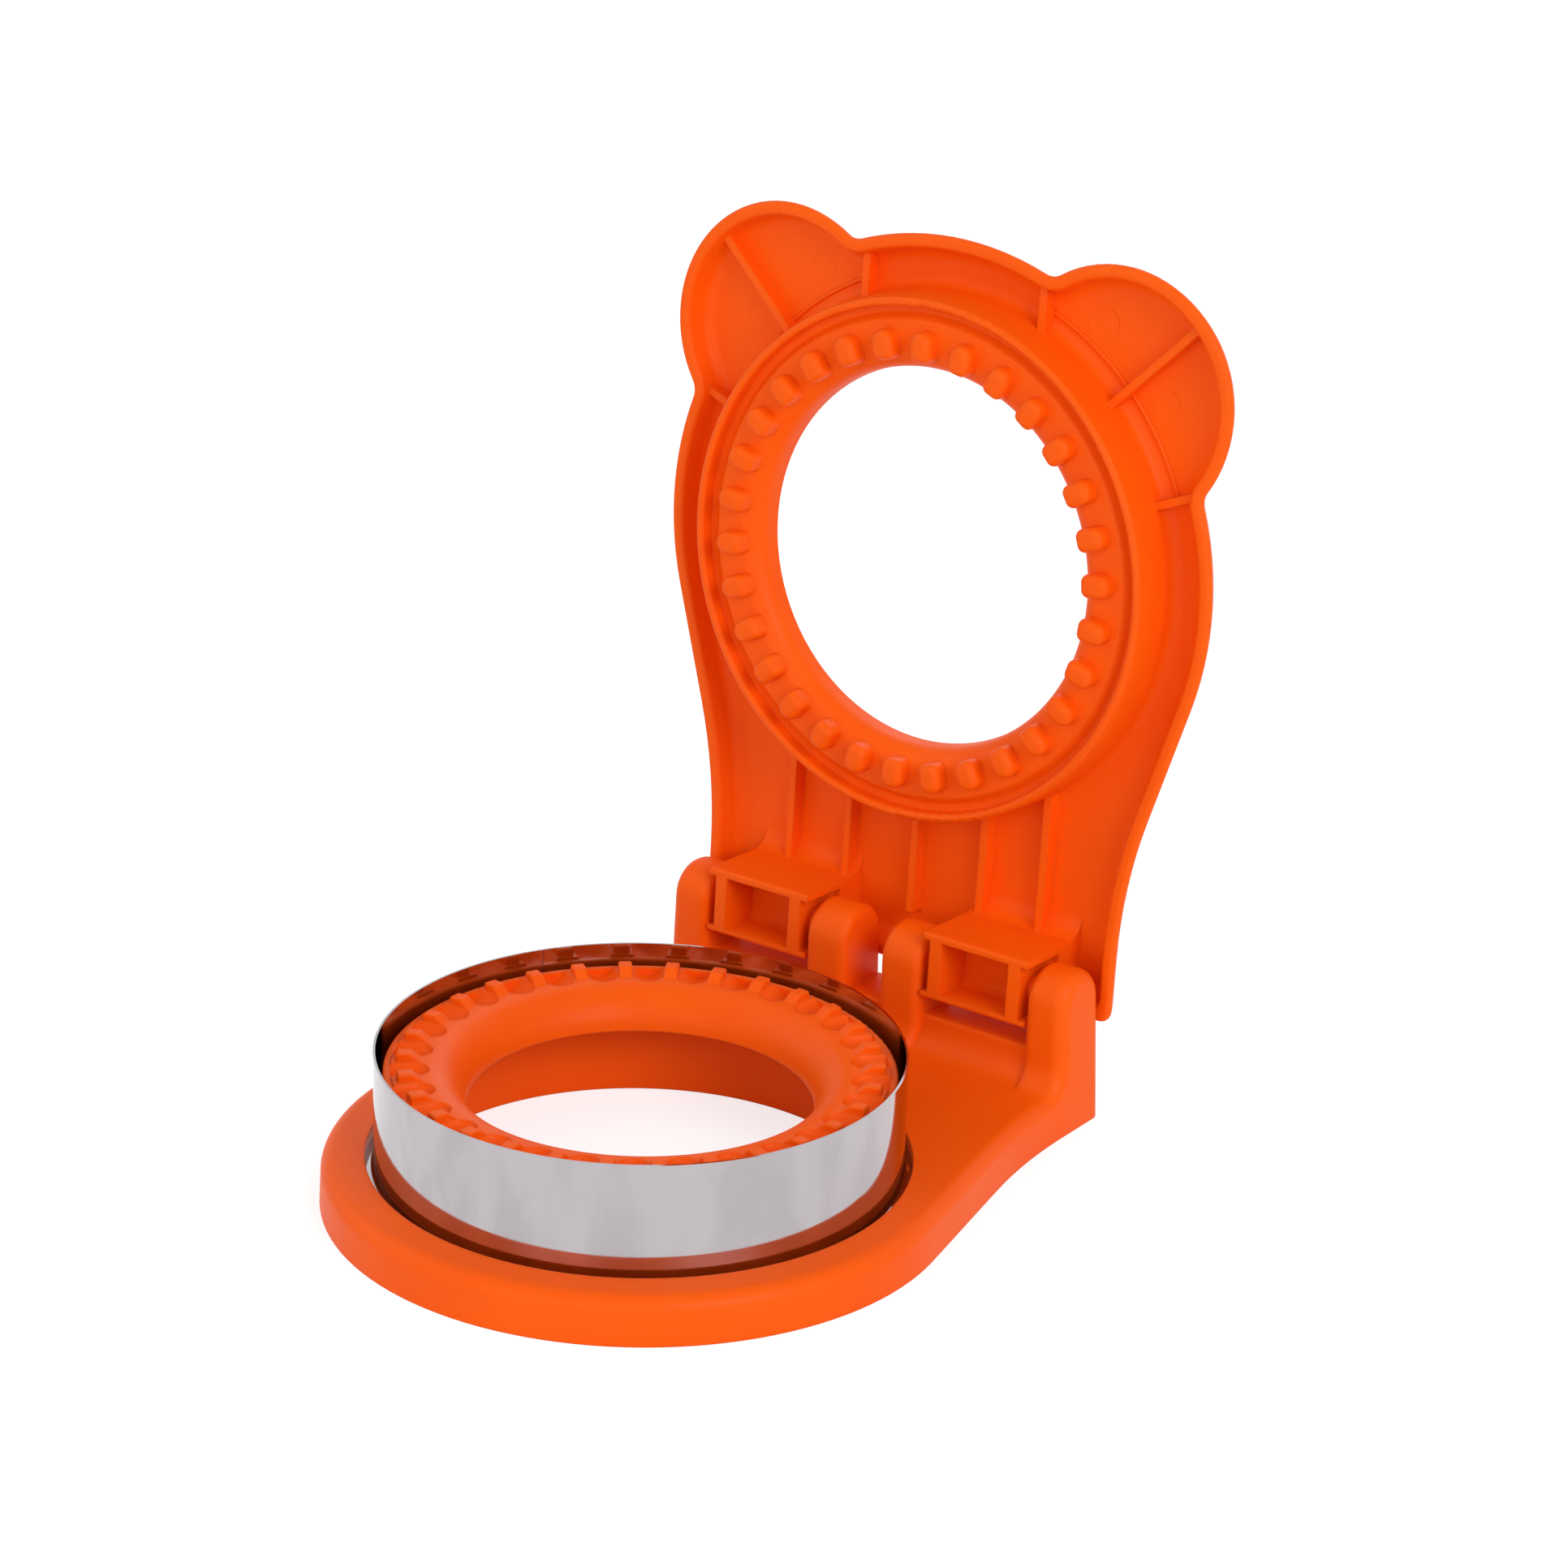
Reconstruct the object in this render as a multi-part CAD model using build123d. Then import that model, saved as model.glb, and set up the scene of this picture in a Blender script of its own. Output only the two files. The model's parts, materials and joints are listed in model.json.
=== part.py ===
from build123d import *
import os
from math import acos, cos, hypot, radians, sin, sqrt, tan

# Sandwich cutter and sealer with a hinged, round-eared lid, in millimetres.
# Modelled about the cutter's axis (x = y = 0, z up, table at z = 0), lid closed.
# The lid is then swung open and the whole is centred over its footprint.

# Cutter ring
cutter_r = 45.0
cutter_t = 0.4
cutter_top = 27.4
foot_w = 2.3
foot_bend = 0.6
seam_angle = 151.0
seam_gap = 0.15

# Insert fixing
screw_count = 4
screw_first = 45.0
screw_setout = 2.0
shank_r = 1.0
head_r = 1.8
head_h = 1.1
head_lift = 0.4
head_edge_r = 0.5
drive_w = 0.45
drive_span = 2.0
drive_depth = 0.6
lug_t = 1.8
lug_w = 5.6
lug_end = 2.1
lug_gap = 0.55
lug_hole_r = 1.2
boss_r = 1.9
pilot_gap = 0.03
pilot_skin = 1.0
pilot_room = 0.6

# Base shell
base_waist = 9.85
base_lean = 12.0
base_flank_r = 118.0
base_draft = 2.2
deck_top = 8.3
deck_t = 2.2
skirt_t = 2.2
edge_r = 2.8
well_gap = 1.5
step_top = 14.4
step_reach = 4.3
step_fillet = 5.2
step_edge_r = 0.8
step_under_r = 6.0
base_rib_t = 1.6
base_rib_x = (0.0, 23.8)
base_rib_foot = 1.2

# Hinge
hinge_setback = 25.8
hinge_drop = 3.4
open_angle = 92.68
ear_r = 6.0
ear_front_reach = 6.3
ear_top_reach = 5.4
ear_foot_r = 5.0
inner_ear_in = 3.9
inner_ear_w = 8.6
outer_ear_w = 9.1
ear_edge_r = 1.8
ear_core_wall = 2.2
peg_r = 2.5
peg_gap = 0.05
peg_reach = 2.4
socket_depth = 2.9
side_gap = 0.3

# Crimp insert
insert_gap = 1.2
insert_wall = 1.5
insert_foot = 0.2
insert_foot_flare = 0.2
spigot_rise = 0.5
sleeve_gap = 0.1
clamp_t = 1.7
shoulder_drop = 3.3
shoulder_w = 14.0
shoulder_r = 7.0
lip_t = 2.0
rim_w = 1.3
rim_drop = 0.35
crown_t = 3.2
pitch_count = 30
tooth_rise = 1.4
tooth_w = 2.4
tooth_l = 2.5
tooth_end_gap = 0.8
tooth_sink = 0.7
ramp_l = 1.8
pocket_r = 2.9
pocket_rise = 1.1
pocket_l = 6.8

# Lid shell
head_border = 10.8
lid_lean = 16.5
lid_flank_r = 95.0
lid_overhang = 0.9
lid_tail = 6.7
lid_corner_r = 3.5
round_ear_r = 23.8
round_ear_sink = 8.7
valley_r = 3.0
rim_above_axis = 6.9
lid_depth = 4.8
plate_t = 2.0
lid_wall = 2.8
lid_draft = 25.0
hollow_draft = 15.0
lid_edge_r = 8.0
lid_inner_r = 2.4
rear_edge_r = 2.4
rim_round = 0.9

# Press boss under the lid
press_gap = 0.7
crest_gap = 0.6
crest_t = 1.5
crest_drop = 1.5
boss_draft = 0.6
root_r = 2.0
groove_gap = 0.4
groove_play = 1.4
bore_ledge = 1.8
bore_lip_r = 4.0
bore_draft = 0.15
throat_rise = 6.3
throat_flare = 4.6
throat_wall = 2.45
trough_floor_t = 3.0
trough_edge_r = 0.8
boss_wall = 2.2
bump_gap = 0.8
bump_height = 3.3
bump_l = 5.4
bump_end_gap = 0.5
bump_sink = 1.3
bump_nose_r = 1.4
bump_edge_r = 1.3

# Lid ribs
rib_t = 1.5
rib_drop = 1.7
rib_front_gap = 3.0
rib_in_offset = 2.0
rib_out_offset = 7.3
valley_rib_x = 18.5
side_rib_angle = 22.0

# Lid knuckles
knuckle_reach = 5.8
knuckle_front = 6.6
knuckle_rear = 5.7
front_wall_t = 1.35
rear_wall_t = 1.0
side_wall_t = 2.45
side_recess = 1.5
knuckle_root_r = 4.0
knuckle_edge_r = 0.6
hollow_depth = 8.6
hollow_r = 2.0
roof_t = 2.0

# Small roundings, laps between joined solids, and how far a cut runs past a face
hair_r = 0.3
fine_r = 0.4
soft_r = 0.5
lap = 0.5
past = 1.0

pitch = 360.0 / pitch_count

cutter_in = cutter_r - cutter_t
foot_r = cutter_r + foot_w
well_r = cutter_r + well_gap
deck_under = deck_top - deck_t
clamp_top = deck_under - cutter_t
lug_under = head_h + head_lift
lug_top = lug_under + lug_t
screw_circle = foot_r + screw_setout
lug_reach = screw_circle + lug_end
pilot_top = deck_top - pilot_skin
screw_top = pilot_top - pilot_room

hinge_y = cutter_r + hinge_setback
hinge_z = cutter_top - hinge_drop
base_r = lug_reach + lug_gap + skirt_t
base_half = base_r - base_waist
step_front = hinge_y - step_reach
inner_ear_out = inner_ear_in + inner_ear_w
outer_ear_in = base_half - outer_ear_w
ear_top = hinge_z + ear_top_reach
ear_front = hinge_y - ear_front_reach
ear_back = hinge_y + ear_r
ear_spread = ear_top * tan(radians(base_draft))
base_rear = ear_back + ear_spread

insert_r = cutter_in - insert_gap
insert_bore = insert_r - insert_wall
insert_foot_r = insert_r + insert_foot_flare
spigot_top = deck_top + spigot_rise
lip_r = insert_r - shoulder_w
shoulder_z = cutter_top - shoulder_drop
rim_z = shoulder_z - rim_drop
pocket_out = insert_r - rim_w
pocket_in = pocket_out - pocket_l
pocket_z = shoulder_z + pocket_rise
tooth_top = shoulder_z + tooth_rise
tooth_out = pocket_out - tooth_end_gap
tooth_in = tooth_out - tooth_l
ramp_in = tooth_in - ramp_l

crest_in = cutter_r + crest_gap
crest_r = crest_in + crest_t / 2
crest_out = crest_in + crest_t
groove_in = cutter_in - groove_gap
groove_z = cutter_top + groove_play
ledge_z = tooth_top + press_gap
crest_z = ledge_z - crest_drop
throat_z = ledge_z + throat_rise
bump_r = pocket_r - bump_gap
bump_out = pocket_out - bump_end_gap
bump_in = bump_out - bump_l
bore_r = bump_in - bore_ledge
throat_r = bore_r - bore_draft
trough_in = throat_r + throat_wall

rim_plane = hinge_z + rim_above_axis
plate_in = rim_plane + lid_depth
plate_out = plate_in + plate_t
head_disc_r = crest_out + head_border
round_ear_reach = head_disc_r - round_ear_sink
lid_half = base_half + lid_overhang
lid_rear = hinge_y + lid_tail
knuckle_x0 = inner_ear_out + side_gap
knuckle_x1 = outer_ear_in - side_gap
hinge_rib_x = (0.0, knuckle_x0 + rib_in_offset, knuckle_x1 - rib_out_offset)


def plan(p):
    return (p[0], p[1], 0)


def radial(p):
    return (p[0], 0, p[1])


def across(p):
    return (0, p[0], p[1])


def aim(a, b):
    size = hypot(b[0] - a[0], b[1] - a[1])
    return ((b[0] - a[0]) / size, (b[1] - a[1]) / size)


def rounded(corners, place):
    """Face with the given corners, each (u, v) or (u, v, rounding radius)."""
    count = len(corners)
    edges, ins, outs = [], [], []
    for i, corner in enumerate(corners):
        p = corner[:2]
        r = corner[2] if len(corner) > 2 else 0
        ins.append(p)
        outs.append(p)
        if r > 0:
            a, b = aim(p, corners[i - 1]), aim(p, corners[(i + 1) % count])
            half = acos(a[0] * b[0] + a[1] * b[1]) / 2
            reach, middle = r / tan(half), r / sin(half) - r
            c = aim((0, 0), (a[0] + b[0], a[1] + b[1]))
            ins[i] = (p[0] + a[0] * reach, p[1] + a[1] * reach)
            outs[i] = (p[0] + b[0] * reach, p[1] + b[1] * reach)
            top = (p[0] + c[0] * middle, p[1] + c[1] * middle)
            edges.append(ThreePointArc(place(ins[i]), place(top), place(outs[i])))
    for i in range(count):
        a, b = outs[i], ins[(i + 1) % count]
        if hypot(b[0] - a[0], b[1] - a[1]) > 1e-6:
            edges.append(Line(place(a), place(b)))
    return make_face(edges)


def pear(circle_r, lean, flank_r, half, rear):
    """Face bounded by a disc whose flanks lean in, curve upright and end square."""
    a = radians(lean)
    on_disc = (circle_r * cos(a), circle_r * sin(a))
    bend_x = half + flank_r * (1 - cos(a))
    bend = (bend_x, on_disc[1] + (on_disc[0] - bend_x) / tan(a))
    upright = (half, bend[1] + flank_r * sin(a))
    flip = lambda p: (-p[0], p[1])
    edges = [
        ThreePointArc(flip(on_disc), (0, -circle_r), on_disc),
        Line(on_disc, bend),
        TangentArc(bend, upright, tangent=(-sin(a), cos(a))),
        Line(upright, (half, rear)),
        Line((half, rear), (-half, rear)),
        Line((-half, rear), flip(upright)),
        TangentArc(flip(bend), flip(upright), tangent=(sin(a), cos(a))),
        Line(flip(bend), flip(on_disc)),
    ]
    return make_face(edges)


def spin(corners):
    return revolve(rounded(corners, radial), Axis.Z)


def prism(corners, x0, x1):
    """Solid along X from corners in the plane across the hinge."""
    return Pos(x0, 0, 0) * extrude(rounded(corners, across), amount=x1 - x0, dir=(1, 0, 0))


def block(x0, x1, y0, y1, z0, z1):
    centre = Pos((x0 + x1) / 2, (y0 + y1) / 2, (z0 + z1) / 2)
    return centre * Box(x1 - x0, y1 - y0, z1 - z0)


def disc(radius, z0, z1):
    return Pos(0, 0, z0) * Cylinder(radius, z1 - z0, align=(Align.CENTER, Align.CENTER, Align.MIN))


def x_rod(radius, x0, x1):
    """Rod along the hinge axis."""
    rod = Cylinder(radius, x1 - x0, align=(Align.CENTER, Align.CENTER, Align.MIN))
    return Pos(x0, hinge_y, hinge_z) * Rot(0, 90, 0) * rod


def around(count, first, solid):
    step = 360.0 / count
    return [Rot(0, 0, first + k * step) * solid for k in range(count)]


# Base shell
def base_outline(inset):
    return pear(base_r - inset, base_lean, base_flank_r + inset, base_half - inset, base_rear - inset)


def ear_corners():
    """Upright ear with a round head, a flared foot on the deck and a leaning back."""
    start = ear_front - ear_foot_r - lap
    return [
        (start, 0), (start, deck_top), (ear_front, deck_top, ear_foot_r),
        (ear_front, ear_top, ear_r), (ear_back, ear_top, ear_r), (base_rear, 0),
    ]


def ear(x0, x1, rounded_faces):
    """Ear between two planes, with its edge rounded on the faces named by their x."""
    solid = prism(ear_corners(), x0, x1)
    heads = [e for e in solid.edges() if e.center().Z > hinge_z]
    return fillet([e for e in heads if any(abs(e.center().X - x) < 0.01 for x in rounded_faces)], ear_edge_r)


def step_corners(drop, inset, start, foot, r):
    front, top = step_front + inset, step_top - drop
    lean = tan(radians(base_draft))
    rear = base_rear - inset
    edge = step_edge_r if drop == 0 else 0
    return [
        (start, foot), (start, deck_top - drop), (front, deck_top - drop, r),
        (front, top, edge), (rear - top * lean, top, edge), (rear - foot * lean, foot),
    ]


def base_body():
    """Deck and outer ears in one drafted outline, with one rounding that runs from edge to ears."""
    wide = base_r + past
    deck = block(-wide, wide, -wide, base_rear, 0, deck_top)
    deck += [ear(-wide, -outer_ear_in, (-outer_ear_in,)), ear(outer_ear_in, wide, (outer_ear_in,))]
    body = extrude(base_outline(0), amount=ear_top + past, taper=base_draft) & deck
    front = [e for e in body.edges() if abs(e.center().Z - deck_top) < 0.01 and e.center().Y < -base_r / 2]
    return fillet(front, edge_r)


def base_hollow():
    inside = extrude(base_outline(skirt_t), amount=step_top, taper=base_draft)
    section = step_corners(deck_t, skirt_t, -base_r - past, -past, step_under_r)
    return inside & prism(section, -base_r, base_r)


def ear_cores():
    top = hinge_z - peg_r - ear_core_wall
    w = ear_core_wall
    y0, y1 = ear_front + w, ear_back - w
    spans = [(inner_ear_in + w, inner_ear_out - w), (outer_ear_in + w, base_half - ear_spread - w)]
    cores = []
    for x0, x1 in spans:
        cores += [block(x0, x1, y0, y1, -past, top), block(-x1, -x0, y0, y1, -past, top)]
    return cores


def base_ribs():
    ribs = []
    y0, y1 = ear_front - ear_foot_r, base_rear - skirt_t / 2
    for x in base_rib_x:
        for side in ((-1, 1) if x else (1,)):
            x0 = side * x - base_rib_t / 2
            ribs.append(block(x0, x0 + base_rib_t, y0, y1, base_rib_foot, deck_under + lap))
            ribs.append(block(x0, x0 + base_rib_t, step_front + past, y1, base_rib_foot, step_top - past))
    return ribs


def base_shell():
    shell = base_body()
    start = ear_front - ear_foot_r - lap
    step_half = outer_ear_in + ear_core_wall / 2
    shell += prism(step_corners(0, 0, start, deck_under + lap, step_fillet), -step_half, step_half)
    for x0, x1 in ((inner_ear_in, inner_ear_out), (-inner_ear_out, -inner_ear_in)):
        shell += ear(x0, x1, (x0, x1))
    shell -= base_hollow()
    shell -= ear_cores()
    shell -= disc(well_r, 0, deck_top + past)
    post = Pos(screw_circle, 0, 0) * disc(boss_r, lug_top, deck_under + lap)
    pilot = Pos(screw_circle, 0, 0) * disc(shank_r + pilot_gap, lug_top - past, pilot_top)
    for spot, hole in zip(around(screw_count, screw_first, post), around(screw_count, screw_first, pilot)):
        shell = shell + spot - hole
    shell += base_ribs()
    socket = peg_r + peg_gap
    for side in (-1, 1):
        for face_x, inward in ((inner_ear_out, -1), (outer_ear_in, 1)):
            x0, x1 = sorted((side * (face_x - inward * past), side * (face_x + inward * socket_depth)))
            shell -= x_rod(socket, x0, x1)
    return shell


# Cutter ring
def cutter_ring():
    ring = spin([
        (cutter_in, cutter_top), (cutter_in, clamp_top, foot_bend + cutter_t), (foot_r, clamp_top),
        (foot_r, deck_under), (cutter_r, deck_under, foot_bend), (cutter_r, cutter_top),
    ])
    slit = block(cutter_in - past, foot_r + past, -seam_gap / 2, seam_gap / 2, 0, cutter_top + past)
    return ring - Rot(0, 0, seam_angle) * slit


# Crimp insert
def insert_body():
    crown_under = shoulder_z - crown_t
    spigot_r = cutter_in - sleeve_gap
    flange_under = clamp_top - clamp_t
    curve = min(shoulder_r - lip_t, shoulder_r - crown_t) * 0.95
    return spin([
        (insert_bore, insert_foot), (insert_bore, crown_under), (lip_r + lip_t, crown_under, curve),
        (lip_r + lip_t, shoulder_z - shoulder_r), (lip_r, shoulder_z - shoulder_r),
        (lip_r, shoulder_z, shoulder_r), (pocket_out, shoulder_z), (pocket_out, rim_z),
        (insert_r, rim_z, fine_r), (insert_r, spigot_top), (spigot_r, spigot_top), (spigot_r, clamp_top),
        (foot_r, clamp_top), (foot_r, flange_under), (insert_foot_r, flange_under), (insert_foot_r, insert_foot),
    ])


def tooth():
    """Rib with a ramp on its inner side, sunk into the shoulder."""
    root = shoulder_z - tooth_sink
    ramp_foot = ramp_in - tooth_sink * ramp_l / tooth_rise
    flank = rounded([
        (ramp_foot, root), (tooth_in, tooth_top, soft_r), (tooth_out, tooth_top, fine_r), (tooth_out, root),
    ], radial)
    rib = Pos(0, -tooth_w / 2, 0) * extrude(flank, amount=tooth_w, dir=(0, 1, 0))
    long_edges = [e for e in rib.edges() if e.bounding_box().size.Y < 1e-4 and e.center().Z > tooth_top - 1e-3]
    return fillet(long_edges, hair_r)


def pocket():
    """Round-ended trough, lying along the radius."""
    shell = [(pocket_in, 0), (pocket_in, pocket_r, pocket_r), (pocket_out, pocket_r), (pocket_out, 0)]
    return Pos(0, 0, pocket_z) * revolve(rounded(shell, radial), Axis.X)


def lug():
    arm = block(insert_foot_r - past, lug_reach + past, -lug_w / 2, lug_w / 2, lug_under, lug_top)
    return (arm & disc(lug_reach, 0, deck_under)) - Pos(screw_circle, 0, 0) * disc(lug_hole_r, 0, deck_under)


def crimp_insert():
    insert = insert_body()
    insert += around(pitch_count, 0, tooth())
    insert -= around(pitch_count, pitch / 2, pocket())
    return insert + around(screw_count, screw_first, lug())


# Insert screws
def screw():
    body = spin([
        (0, head_lift), (head_r, head_lift, head_edge_r), (head_r, lug_under), (shank_r, lug_under),
        (shank_r, screw_top, fine_r), (0, screw_top),
    ])
    arm = Pos(0, 0, head_lift) * Box(drive_span, drive_w, 2 * drive_depth)
    return Pos(screw_circle, 0, 0) * (body - arm - Rot(0, 0, 90) * arm)


def insert_screws():
    return Part() + around(screw_count, screw_first, screw())


# Lid shell, closed
def lid_outline(inset):
    face = pear(head_disc_r - inset, lid_lean, lid_flank_r + inset, lid_half - inset, lid_rear - inset)
    reach = round_ear_reach / sqrt(2)
    for side in (-1, 1):
        face += Pos(side * reach, -reach) * Circle(round_ear_r - inset)
    disc_r = head_disc_r - inset
    valleys = [v for v in face.vertices() if abs(hypot(v.X, v.Y) - disc_r) < 1e-3 and v.Y < -reach / 4]
    return fillet(valleys, valley_r + inset)


def lid_cup():
    """Drafted cup with a rounded back, rim down, and the hollow that leaves an even wall."""
    cup = Pos(0, 0, rim_plane) * extrude(lid_outline(0), amount=plate_out - rim_plane, taper=lid_draft)
    hollow = Pos(0, 0, rim_plane) * extrude(lid_outline(lid_wall), amount=lid_depth, taper=hollow_draft)
    return round_back(cup, plate_out, lid_edge_r), round_back(hollow, plate_in, lid_inner_r)


def corner_trim(side):
    """What rounds one rear corner of the lid in plan."""
    r = lid_corner_r
    low, high = rim_plane - past, plate_out + past
    nook = block(0, r + past, 0, r + past, low, high) - disc(r, low - past, high + past)
    nook = Pos(lid_half - r, lid_rear - r, 0) * nook
    return nook if side > 0 else mirror(nook, Plane.YZ)


def round_back(solid, height, radius):
    """Round the long front edge and the rear edge at this height."""
    top = [e for e in solid.edges() if e.center().Z > height - 0.01]
    solid = fillet([min(top, key=lambda e: e.center().Y)], radius)
    top = [e for e in solid.edges() if e.center().Z > height - 0.01]
    return fillet([max(top, key=lambda e: e.center().Y)], rear_edge_r)


def lid_ribs(cup):
    low, high = rim_plane + rib_drop, plate_in + lap
    ribs = []
    for x in hinge_rib_x:
        end = hinge_y - (knuckle_root_r if x else rib_front_gap)
        for side in ((-1, 1) if x else (1,)):
            ribs.append(block(side * x - rib_t / 2, side * x + rib_t / 2, 0, end, low, high))
    for side in (-1, 1):
        x = side * valley_rib_x
        ribs.append(block(x - rib_t / 2, x + rib_t / 2, -head_disc_r, 0, low, high) & cup)
        for angle, reach in ((side_rib_angle, head_disc_r), (45.0, round_ear_reach + round_ear_r)):
            spoke = block(crest_in, reach, -rib_t / 2, rib_t / 2, low, high)
            turn = -angle if side > 0 else angle - 180
            ribs.append((Rot(0, 0, turn) * spoke) & cup)
    return ribs


def press_boss():
    root = crest_out + boss_draft
    skirt = root + root_r + hair_r
    trough_z, trough_out = ledge_z + trough_floor_t, crest_out - boss_wall
    back_r = throat_r + throat_flare
    crest_round = crest_t * 0.49
    return spin([
        (skirt, plate_in), (root, plate_in, root_r),
        (crest_out, crest_z, crest_round), (crest_in, crest_z, crest_round),
        (crest_in, groove_z, hair_r), (groove_in, groove_z, hair_r), (groove_in, ledge_z, hair_r),
        (bore_r, ledge_z, bore_lip_r), (throat_r, throat_z), (back_r, plate_out, soft_r),
        (back_r + boss_wall, plate_out, soft_r), (trough_in, throat_z), (trough_in, trough_z, trough_edge_r),
        (trough_out, trough_z, trough_edge_r), (trough_out, plate_out, trough_edge_r), (skirt, plate_out),
    ])


def bump():
    """Presser with a U section, blunt at the inner end and round at the outer end."""
    tip, tail_r = ledge_z - bump_height, bump_r * 0.95
    outline = rounded([
        (bump_in, -bump_r, bump_nose_r), (bump_out, -bump_r, tail_r),
        (bump_out, bump_r, tail_r), (bump_in, bump_r, bump_nose_r),
    ], plan)
    body = Pos(0, 0, tip) * extrude(outline, amount=bump_height + bump_sink)
    return fillet([e for e in body.edges() if abs(e.center().Z - tip) < 1e-3], bump_edge_r)


def knuckle(side):
    """Box that hangs between two ears, open below, with a blended root on the plate."""
    y0, y1 = hinge_y - knuckle_front, hinge_y + knuckle_rear
    low = hinge_z - knuckle_reach
    roof = low + hollow_depth
    foot, seat = y0 - knuckle_root_r - lap, plate_in + plate_t / 2
    body = prism([
        (y0, low, knuckle_edge_r), (y0, plate_in, knuckle_root_r), (foot, plate_in),
        (foot, seat), (y1, seat), (y1, low, fine_r),
    ], knuckle_x0, knuckle_x1)
    y2, y3 = y0 + front_wall_t, y1 - rear_wall_t
    x0, x1 = knuckle_x0 + side_recess, knuckle_x1 - side_recess
    for a, b in ((knuckle_x0 - past, x0), (x1, knuckle_x1 + past)):
        body -= block(a, b, y2, y3, low - past, roof + roof_t)
    well = [(y2, low - past), (y2, roof, hollow_r), (y3, roof, hollow_r), (y3, low - past)]
    body -= prism(well, x0 + side_wall_t, x1 - side_wall_t)
    body += x_rod(peg_r, inner_ear_out - peg_reach, x0 + side_wall_t / 2)
    body += x_rod(peg_r, x1 - side_wall_t / 2, outer_ear_in + peg_reach)
    return body if side > 0 else mirror(body, Plane.YZ)


def lid_closed():
    cup, hollow = lid_cup()
    shell = cup - hollow
    rim = [e for e in shell.edges() if abs(e.center().Z - rim_plane) < 0.01]
    shell = fillet(rim, rim_round)
    shell += lid_ribs(cup)
    shell += [knuckle(-1), knuckle(1)]
    shell -= [disc(crest_r, 0, plate_out + past), corner_trim(-1), corner_trim(1)]
    shell += press_boss()
    return shell + around(pitch_count, pitch / 2, bump())


def opened(solid):
    return Pos(0, hinge_y, hinge_z) * Rot(-open_angle, 0, 0) * Pos(0, -hinge_y, -hinge_z) * solid


def main():
    nodes = {
        "base_shell": base_shell(),
        "cutter_ring": cutter_ring(),
        "crimp_insert": crimp_insert(),
        "insert_screws": insert_screws(),
        "lid_shell": opened(lid_closed()),
    }
    boxes = [solid.bounding_box() for solid in nodes.values()]
    back, front = max(b.max.Y for b in boxes), min(b.min.Y for b in boxes)
    shift = -(back + front) / 2
    os.makedirs("parts", exist_ok=True)
    for name, solid in nodes.items():
        pieces = [Pos(0, shift, 0) * piece for piece in solid.solids()]
        export_step(pieces[0] if len(pieces) == 1 else Compound(children=pieces), "parts/" + name + ".step")
    print("shift y", round(shift, 4), "hinge y", round(hinge_y + shift, 4), "hinge z", hinge_z)
    print("height", round(max(b.max.Z for b in boxes), 3), "depth", round(back - front, 3))


main()
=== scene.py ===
import json
import math

import bmesh
import bpy
from mathutils import Matrix, Vector


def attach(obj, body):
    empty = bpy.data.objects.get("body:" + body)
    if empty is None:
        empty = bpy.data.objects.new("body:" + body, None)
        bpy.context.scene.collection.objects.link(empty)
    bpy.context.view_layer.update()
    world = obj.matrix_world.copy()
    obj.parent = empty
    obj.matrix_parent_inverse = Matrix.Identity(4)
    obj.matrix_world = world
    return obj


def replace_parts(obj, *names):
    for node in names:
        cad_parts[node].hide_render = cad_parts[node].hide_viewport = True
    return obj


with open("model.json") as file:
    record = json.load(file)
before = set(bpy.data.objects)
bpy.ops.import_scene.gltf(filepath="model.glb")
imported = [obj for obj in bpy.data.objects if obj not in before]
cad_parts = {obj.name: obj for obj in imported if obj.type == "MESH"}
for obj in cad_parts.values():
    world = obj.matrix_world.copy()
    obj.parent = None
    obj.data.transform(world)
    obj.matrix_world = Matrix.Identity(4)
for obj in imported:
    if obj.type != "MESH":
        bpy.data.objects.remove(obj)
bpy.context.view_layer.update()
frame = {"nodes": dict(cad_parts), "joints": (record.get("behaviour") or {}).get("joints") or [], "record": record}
print("frame loaded")

mm = 0.001
hinge = Vector(frame["joints"][0]["pos_m"])

# The lid as it lies when closed, where its plan is drawn about the cutter's axis
lidSettings = {"closedDeg": 92.68, "axisFromHingeMm": 70.8, "floorAboveHingeMm": 11.7}


# sRGB hex to linear
def linear(hexColour, alpha=1.0):
    parts = [int(hexColour[i:i + 2], 16) / 255 for i in (0, 2, 4)]
    return [c / 12.92 if c <= 0.04045 else ((c + 0.055) / 1.055) ** 2.4 for c in parts] + [alpha]


# One node with its settings and its inputs, by name or by _number: a value, or a socket to link
def addNode(tree, kind, settings=None, **inputs):
    node = tree.nodes.new(kind)
    for name, value in (settings or {}).items():
        setattr(node, name, value)
    for name, value in inputs.items():
        key = int(name[1:]) if name[0] == "_" else name.replace("_", " ")
        socket = node.inputs[key]
        if isinstance(value, bpy.types.NodeSocket):
            tree.links.new(value, socket)
        else:
            socket.default_value = value
    return node


def newMaterial(name):
    material = bpy.data.materials.new(name)
    material.use_nodes = True
    material.node_tree.nodes.clear()
    return material, material.node_tree


# The place on the object, which all its textures follow
def objectPlace(tree):
    return addNode(tree, "ShaderNodeTexCoord").outputs["Object"]


def addSurface(tree, **inputs):
    shader = addNode(tree, "ShaderNodeBsdfPrincipled", **inputs)
    addNode(tree, "ShaderNodeOutputMaterial", Surface=shader.outputs[0])


def addNoise(tree, place, sizeMm, detail):
    return addNode(tree, "ShaderNodeTexNoise", Vector=place, Scale=1 / (sizeMm * mm),
                   Detail=detail).outputs["Fac"]


def addMix(tree, share, first, second):
    return addNode(tree, "ShaderNodeMix", {"data_type": "RGBA"}, _0=share, _6=first,
                   _7=second).outputs[2]


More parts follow.
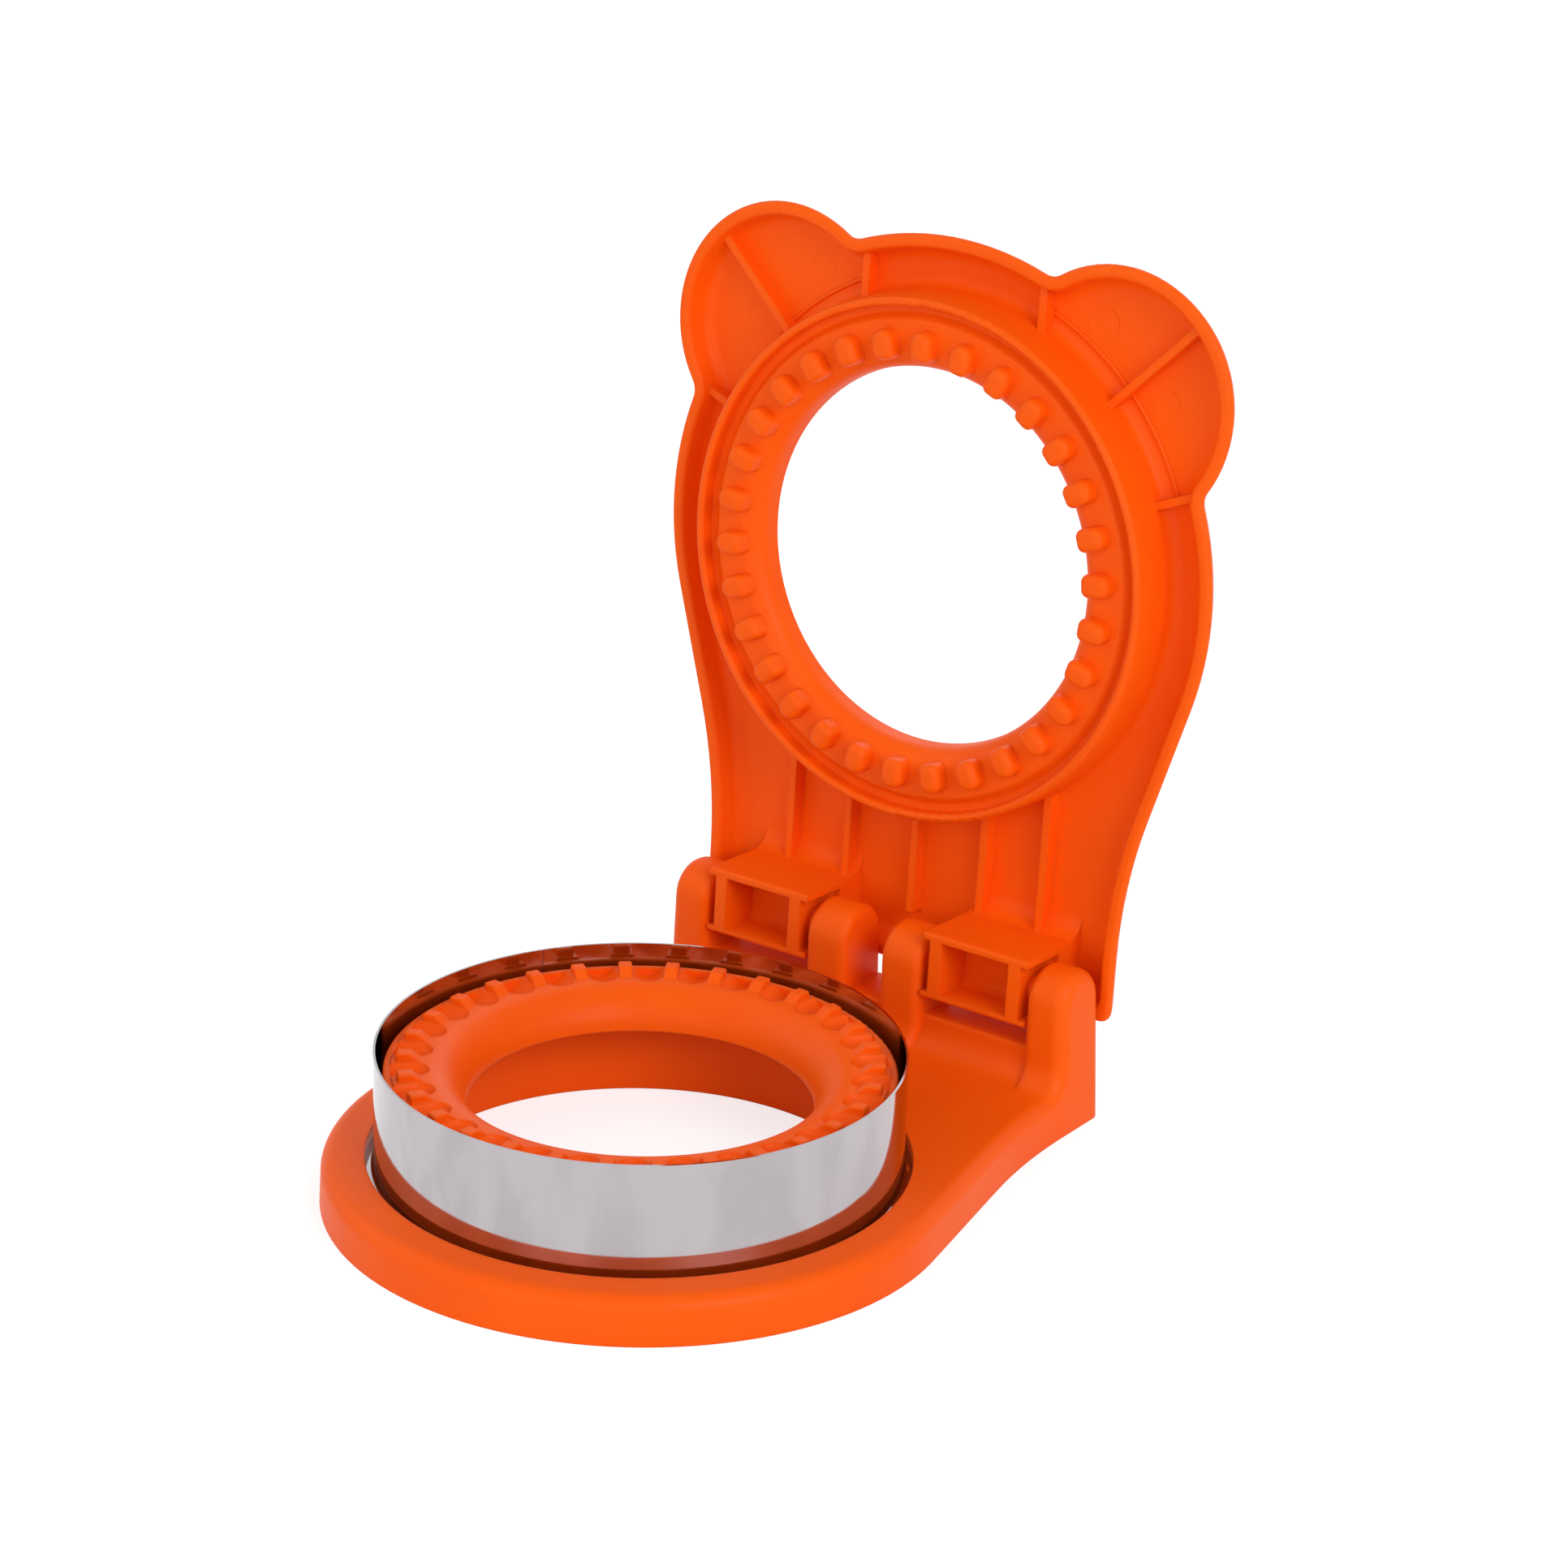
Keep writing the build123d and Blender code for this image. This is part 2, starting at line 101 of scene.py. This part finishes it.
# The round ends of the ejector pins, a hair deep in the floor of the round ears: x, y and radius
# of each in the closed lid's plan, and its mirror
pinMarkSettings = {
    "pinsMm": ((43.2, -35.1, 2.4), (29.6, -46.6, 2.9)),
    "edgeMm": 0.35,
    "depthMm": 0.1,
}


def pinMarks(tree, place):
    s, lid = pinMarkSettings, lidSettings
    fromHinge = addNode(tree, "ShaderNodeVectorMath", {"operation": "SUBTRACT"},
                        _0=place, _1=hinge)
    closed = addNode(tree, "ShaderNodeMapping", Vector=fromHinge.outputs[0],
                     Location=(0, lid["axisFromHingeMm"] * mm, 0),
                     Rotation=(math.radians(lid["closedDeg"]), 0, 0))
    axes = addNode(tree, "ShaderNodeSeparateXYZ", Vector=closed.outputs[0])
    half = addNode(tree, "ShaderNodeMath", {"operation": "ABSOLUTE"}, _0=axes.outputs[0])
    spot = addNode(tree, "ShaderNodeCombineXYZ", X=half.outputs[0], Y=axes.outputs[1],
                   Z=axes.outputs[2]).outputs[0]
    height = 0.0
    for x, y, r in s["pinsMm"]:
        centre = (x * mm, y * mm, lid["floorAboveHingeMm"] * mm)
        away = addNode(tree, "ShaderNodeVectorMath", {"operation": "DISTANCE"},
                       _0=spot, _1=centre)
        edge = addNode(tree, "ShaderNodeMapRange", {"interpolation_type": "SMOOTHSTEP"},
                       Value=away.outputs["Value"], From_Min=(r - s["edgeMm"]) * mm,
                       From_Max=r * mm)
        height = addNode(tree, "ShaderNodeMath", {"operation": "ADD"},
                         _0=height, _1=edge.outputs[0]).outputs[0]
    return height


# Polypropylene, injection moulded in a polished tool: even orange with a soft gloss, a trace of
# flow waviness, edges that the tool leaves slightly round, and light that bleeds into the wall
orangeSettings = {
    "colour": "F65F08",
    "deepColour": "EE5505",
    "patchMm": 22.0,
    "roughness": (0.38, 0.48),
    "waveMm": 9.0,
    "waveDepthMm": 0.4,
    "waveStrength": 0.10,
    "grainMm": 0.9,
    "grainDepthMm": 0.05,
    "grainStrength": 0.05,
    "ior": 1.49,
    "gloss": 0.11,
    "bleed": 0.10,
    "bleedMm": (1.6, 0.4, 0.1),
    "edgeMm": 0.45,
    "edgeSamples": 6,
}


def mouldedPolypropylene(name, marked=False):
    s = orangeSettings
    material, tree = newMaterial(name)
    place = objectPlace(tree)
    patch = addNoise(tree, place, s["patchMm"], 2.0)
    colour = addMix(tree, patch, linear(s["colour"]), linear(s["deepColour"]))
    low, high = s["roughness"]
    rough = addNode(tree, "ShaderNodeMapRange", Value=patch, To_Min=low, To_Max=high)
    normal = addNode(tree, "ShaderNodeBevel", {"samples": s["edgeSamples"]},
                     Radius=s["edgeMm"] * mm)
    normal = addNode(tree, "ShaderNodeBump", Strength=s["waveStrength"],
                     Distance=s["waveDepthMm"] * mm, Normal=normal.outputs[0],
                     Height=addNoise(tree, place, s["waveMm"], 1.0))
    normal = addNode(tree, "ShaderNodeBump", Strength=s["grainStrength"],
                     Distance=s["grainDepthMm"] * mm, Normal=normal.outputs[0],
                     Height=addNoise(tree, place, s["grainMm"], 2.0))
    if marked:
        normal = addNode(tree, "ShaderNodeBump", Strength=1.0,
                         Distance=pinMarkSettings["depthMm"] * mm,
                         Height=pinMarks(tree, place), Normal=normal.outputs[0])
    addSurface(tree, Base_Color=colour, Roughness=rough.outputs[0], IOR=s["ior"],
               Specular_IOR_Level=s["gloss"], Subsurface_Weight=s["bleed"],
               Subsurface_Radius=s["bleedMm"], Subsurface_Scale=mm, Normal=normal.outputs[0])
    return material


# Cold-rolled 304 stainless strip, polished along its length: a near mirror that greys in soft
# upright patches where it was handled, with rolling lines round the ring
steelSettings = {
    "colour": "BAB5B8",
    "handledColour": "B1ACAF",
    "lineMm": 0.3,
    "lineStretch": 0.01,
    "lineDepthMm": 0.01,
    "lineStrength": 0.04,
    "patchMm": 9.0,
    "patchStretch": 0.45,
    "patchFromTo": (0.38, 0.66),
    "roughness": (0.05, 0.08),
}


def rolledStainless():
    s = steelSettings
    material, tree = newMaterial("rolledStainless")
    place = objectPlace(tree)
    along = addNode(tree, "ShaderNodeMapping", Vector=place,
                    Scale=(s["lineStretch"], s["lineStretch"], 1.0))
    lines = addNoise(tree, along.outputs[0], s["lineMm"], 1.0)
    upright = addNode(tree, "ShaderNodeMapping", Vector=place,
                      Scale=(1.0, 1.0, s["patchStretch"]))
    patch = addNoise(tree, upright.outputs[0], s["patchMm"], 3.0)
    start, end = s["patchFromTo"]
    handled = addNode(tree, "ShaderNodeMapRange", {"interpolation_type": "SMOOTHSTEP"},
                      Value=patch, From_Min=start, From_Max=end).outputs[0]
    colour = addMix(tree, handled, linear(s["colour"]), linear(s["handledColour"]))
    low, high = s["roughness"]
    rough = addNode(tree, "ShaderNodeMapRange", Value=handled, To_Min=low, To_Max=high)
    bump = addNode(tree, "ShaderNodeBump", Strength=s["lineStrength"],
                   Distance=s["lineDepthMm"] * mm, Height=lines)
    addSurface(tree, Base_Color=colour, Metallic=1.0, Roughness=rough.outputs[0],
               Normal=bump.outputs[0])
    return material


# The same strip where its ends are tack welded and dressed flush: straw to brown, and duller
weldTintSettings = {"colour": "8C7B6A", "burntColour": "5F4B40", "tintMm": 1.5, "roughness": 0.45}


def dressedWeld():
    s = weldTintSettings
    material, tree = newMaterial("dressedWeld")
    tint = addNoise(tree, objectPlace(tree), s["tintMm"], 2.0)
    colour = addMix(tree, tint, linear(s["colour"]), linear(s["burntColour"]))
    addSurface(tree, Base_Color=colour, Metallic=1.0, Roughness=s["roughness"])
    return material


# Zinc-plated carbon steel: greyer than the strip, slightly cloudy
zincSettings = {"colour": "B4B5B8", "cloudMm": 1.2, "roughness": (0.28, 0.5)}


def zincPlated():
    s = zincSettings
    material, tree = newMaterial("zincPlated")
    cloud = addNoise(tree, objectPlace(tree), s["cloudMm"], 2.0)
    low, high = s["roughness"]
    rough = addNode(tree, "ShaderNodeMapRange", Value=cloud, To_Min=low, To_Max=high)
    addSurface(tree, Base_Color=linear(s["colour"]), Metallic=1.0, Roughness=rough.outputs[0])
    return material


orange = mouldedPolypropylene("mouldedPolypropylene")
finishes = {
    "base_shell": orange,
    "crimp_insert": orange,
    "lid_shell": mouldedPolypropylene("mouldedPolypropyleneLid", marked=True),
    "cutter_ring": rolledStainless(),
    "insert_screws": zincPlated(),
}
bodyOf = {node: body for body, nodes in frame["record"]["behaviour"]["bodies"].items()
          for node in nodes}
print("materials made")


# The finished mesh as a piece that rides with a CAD node's body
def placed(name, work, node, finish):
    mesh = bpy.data.meshes.new(name)
    work.to_mesh(mesh)
    work.free()
    mesh.materials.append(finish)
    piece = bpy.data.objects.new(name, mesh)
    bpy.context.collection.objects.link(piece)
    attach(piece, bodyOf[node])
    return piece


# The lid's groove for the cutting edge, in the closed lid about the cutter's axis: its floor
# comes down to just over the edge, and its inner wall opens to a chamfer
grooveSettings = {
    "innerMm": 43.8,
    "wallMm": 44.6,
    "outerMm": 45.75,
    "ledgeAboveHingeMm": 2.2,
    "floorAboveHingeMm": 4.8,
    "slackMm": (0.01, 0.05),  # below the ledge, and above the floor
    "keep": 0.55,  # of the groove's depth
    "chamferMm": 1.2,
}


def openGroove(work):
    s = grooveSettings
    shut = Matrix.Rotation(math.radians(lidSettings["closedDeg"]), 3, "X")
    axis = Vector((0, -lidSettings["axisFromHingeMm"] * mm, 0))
    low, high = s["ledgeAboveHingeMm"] * mm, s["floorAboveHingeMm"] * mm
    below, above = (slack * mm for slack in s["slackMm"])
    for vert in work.verts:
        spot = shut @ (vert.co - hinge) - axis
        radius, height = math.hypot(spot.x, spot.y), spot.z - low
        inside = s["innerMm"] * mm < radius < s["outerMm"] * mm
        if inside and -below < height < high - low + above:
            if radius < s["wallMm"] * mm:
                pull = 1 - s["chamferMm"] * mm * (1 - height / (high - low)) / radius
                spot.x, spot.y = spot.x * pull, spot.y * pull
            spot.z = low + height * s["keep"]
            vert.co = shut.transposed() @ (spot + axis) + hinge


skinSettings = {"mergeMm": 0.002, "sharpDeg": 28.0}


# A copy of a CAD node, merged and shaded smooth between its real edges
def dressed(node):
    s = skinSettings
    work = bmesh.new()
    work.from_mesh(frame["nodes"][node].data)
    bmesh.ops.remove_doubles(work, verts=work.verts, dist=s["mergeMm"] * mm)
    if node == "lid_shell":
        openGroove(work)
    for face in work.faces:
        face.smooth = True
        face.material_index = 0
    for edge in work.edges:
        if len(edge.link_faces) == 2:
            edge.smooth = edge.calc_face_angle(0) < math.radians(s["sharpDeg"])
    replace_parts(placed(node + "Skin", work, node, finishes[node]), node)


for node in frame["nodes"]:
    dressed(node)
print("pieces dressed")


# A section of (radius, height) corners in metres, spun about Z through a centre, with its two ends
def spun(work, corners, centre, fromAngle, angle, steps):
    start = Matrix.Rotation(fromAngle, 3, "Z")
    section = work.faces.new([work.verts.new(centre + start @ Vector((r, 0, z)))
                              for r, z in corners])
    bmesh.ops.spin(work, geom=[section] + section.edges[:] + section.verts[:], cent=centre,
                   axis=(0, 0, 1), angle=angle, steps=steps, use_merge=False)


# The bead that closes the ring's butt seam, a hair inside both faces
weldSettings = {
    "angleDeg": 151.0,
    "widthMm": 0.16,
    "innerMm": 44.63,
    "outerMm": 44.97,
    "lowMm": 6.4,
    "highMm": 27.2,
    "steps": 2,
}


def seamWeld():
    s = weldSettings
    inner, outer, low, high = (s[key] * mm for key in ("innerMm", "outerMm", "lowMm", "highMm"))
    axis = Vector((0, hinge.y - lidSettings["axisFromHingeMm"] * mm, 0))
    turn = s["widthMm"] / s["outerMm"]
    work = bmesh.new()
    spun(work, ((inner, low), (outer, low), (outer, high), (inner, high)), axis,
         math.radians(s["angleDeg"]) - turn / 2, turn, s["steps"])
    bmesh.ops.recalc_face_normals(work, faces=work.faces)
    placed("seamWeld", work, "cutter_ring", dressedWeld())


seamWeld()
print("seam closed")

# The low moulded ridge that parts each ear's floor from the boss, between the ribs of the ear,
# in the closed lid about the cutter's axis: the right ear's two spans, and their mirror
ridgeSettings = {
    "radiusMm": 50.6,
    "halfWidthMm": 0.6,
    "crestHalfWidthMm": 0.2,
    "heightMm": 0.4,
    "sinkMm": 0.2,
    "roundMm": 0.15,
    "roundOverDeg": 20.0,
    "spansDeg": ((-67.9, -45.4), (-44.6, -22.4)),
    "steps": 24,
}


def earRidges():
    s, lid = ridgeSettings, lidSettings
    r, foot, crest = (s[key] * mm for key in ("radiusMm", "halfWidthMm", "crestHalfWidthMm"))
    top = (lid["floorAboveHingeMm"] + s["sinkMm"]) * mm
    low = (lid["floorAboveHingeMm"] - s["heightMm"]) * mm
    work = bmesh.new()
    for first, last in s["spansDeg"]:
        spun(work, ((r - foot, top), (r - crest, low), (r + crest, low), (r + foot, top)),
             Vector((0, 0, 0)), math.radians(first), math.radians(last - first), s["steps"])
    bmesh.ops.mirror(work, geom=work.faces[:] + work.edges[:] + work.verts[:], axis="X",
                     merge_dist=0.0)
    bmesh.ops.recalc_face_normals(work, faces=work.faces)
    edges = [edge for edge in work.edges
             if all(abs(vert.co.z - low) < 0.01 * mm for vert in edge.verts)
             and edge.calc_face_angle(0) > math.radians(s["roundOverDeg"])]
    bmesh.ops.bevel(work, geom=edges, offset=s["roundMm"] * mm, affect="EDGES", segments=2,
                    profile=0.5, material=-1)
    opened = (Matrix.Translation(hinge) @ Matrix.Rotation(-math.radians(lid["closedDeg"]), 4, "X")
              @ Matrix.Translation((0, -lid["axisFromHingeMm"] * mm, 0)))
    bmesh.ops.transform(work, matrix=opened, verts=work.verts)
    for face in work.faces:
        face.smooth = True
    placed("earRidges", work, "lid_shell", orange)


earRidges()
print("ear ridges set")

# The photograph's view: where the lens stands from the hinge, and which way it looks
cameraSettings = {
    "fromHingeMm": (380.68, -567.15, 288.78),
    "azimuthDeg": 35.419,
    "elevationDeg": 20.781,
    "rollDeg": 1.789,
    "lensMm": 93.6,
    "sensorMm": 36.0,
    "clipM": (0.01, 20),
}


def addCamera():
    s = cameraSettings
    a, e, r = (math.radians(s[key]) for key in ("azimuthDeg", "elevationDeg", "rollDeg"))
    back = Vector((math.sin(a) * math.cos(e), -math.cos(a) * math.cos(e), math.sin(e)))
    right = Vector((math.cos(a), math.sin(a), 0))
    up = back.cross(right)
    rolledRight = right * math.cos(r) + up * math.sin(r)
    rolledUp = up * math.cos(r) - right * math.sin(r)
    turn = Matrix((rolledRight, rolledUp, back)).transposed().to_4x4()
    data = bpy.data.cameras.new("camera")
    data.lens = s["lensMm"]
    data.sensor_width = s["sensorMm"]
    data.clip_start, data.clip_end = s["clipM"]
    camera = bpy.data.objects.new("camera", data)
    camera.matrix_world = Matrix.Translation(hinge + Vector(s["fromHingeMm"]) * mm) @ turn
    bpy.context.collection.objects.link(camera)
    bpy.context.scene.camera = camera


# Square soft boxes that look at the object's middle: places and sizes in metres, power in watts
lampSettings = {
    "aim": (0, 0, 0.06),
    "lamps": (
        {"name": "keyLamp", "place": (1.15, -0.45, 0.75), "size": 0.7, "power": 8.6},
        {"name": "frontLamp", "place": (0.1, -1.4, 0.45), "size": 0.9, "power": 3.9},
        {"name": "leftLamp", "place": (-1.2, -0.5, 0.9), "size": 0.9, "power": 3.0},
        {"name": "backLamp", "place": (-0.35, 1.35, 0.8), "size": 0.9, "power": 5.0},
    ),
}


def addLamps():
    aim = Vector(lampSettings["aim"])
    for s in lampSettings["lamps"]:
        data = bpy.data.lights.new(s["name"], "AREA")
        data.size = s["size"]
        data.energy = s["power"]
        lamp = bpy.data.objects.new(s["name"], data)
        lamp.location = s["place"]
        lamp.rotation_euler = (aim - Vector(s["place"])).to_track_quat("-Z", "Y").to_euler()
        bpy.context.collection.objects.link(lamp)


# 1 for what the eye sees straight, in a mirror or through glass, 0 for light that only bounces
def directRays(tree):
    rays = addNode(tree, "ShaderNodeLightPath")
    seen = addNode(tree, "ShaderNodeMath", {"operation": "MAXIMUM"},
                   _0=rays.outputs["Is Camera Ray"], _1=rays.outputs["Is Transmission Ray"])
    return addNode(tree, "ShaderNodeMath", {"operation": "MAXIMUM"}, _0=seen.outputs[0],
                   _1=rays.outputs["Is Glossy Ray"]).outputs[0]


# White to the eye and in reflections, softer as a light
worldSettings = {"colour": "FFFFFF", "lightStrength": 0.58, "seenStrength": 1.0}


def addWorld():
    s = worldSettings
    world = bpy.data.worlds.new("studio")
    bpy.context.scene.world = world
    world.use_nodes = True
    tree = world.node_tree
    tree.nodes.clear()
    strength = addNode(tree, "ShaderNodeMix", {"data_type": "FLOAT"}, _0=directRays(tree),
                       _2=s["lightStrength"], _3=s["seenStrength"])
    sky = addNode(tree, "ShaderNodeBackground", Color=linear(s["colour"]),
                  Strength=strength.outputs[0])
    addNode(tree, "ShaderNodeOutputWorld", Surface=sky.outputs[0])


# Pale matt table: plain card to the light, and lifted to white for the eye and for reflections,
# so that only the darker part of the shadow stays
floorSettings = {
    "card": "F4F4F4",
    "seenCard": "A8A8A8",
    "glow": "FFFFFF",
    "lift": 0.74,
    "roughness": 0.9,
    "gloss": 0.1,
    "halfSizeM": 6.0,
}


def addFloor():
    s = floorSettings
    material, tree = newMaterial("paleFloor")
    seen = directRays(tree)
    card = addMix(tree, seen, linear(s["card"]), linear(s["seenCard"]))
    lift = addNode(tree, "ShaderNodeMath", {"operation": "MULTIPLY"}, _0=seen, _1=s["lift"])
    addSurface(tree, Base_Color=card, Roughness=s["roughness"], Specular_IOR_Level=s["gloss"],
               Emission_Color=linear(s["glow"]), Emission_Strength=lift.outputs[0])
    mesh = bpy.data.meshes.new("floor")
    work = bmesh.new()
    bmesh.ops.create_grid(work, x_segments=1, y_segments=1, size=s["halfSizeM"])
    work.to_mesh(mesh)
    work.free()
    mesh.materials.append(material)
    floor = bpy.data.objects.new("floor", mesh)
    bpy.context.collection.objects.link(floor)


addCamera()
addLamps()
addWorld()
addFloor()
bpy.context.scene.view_settings.view_transform = "Standard"
print("camera, light and floor set")
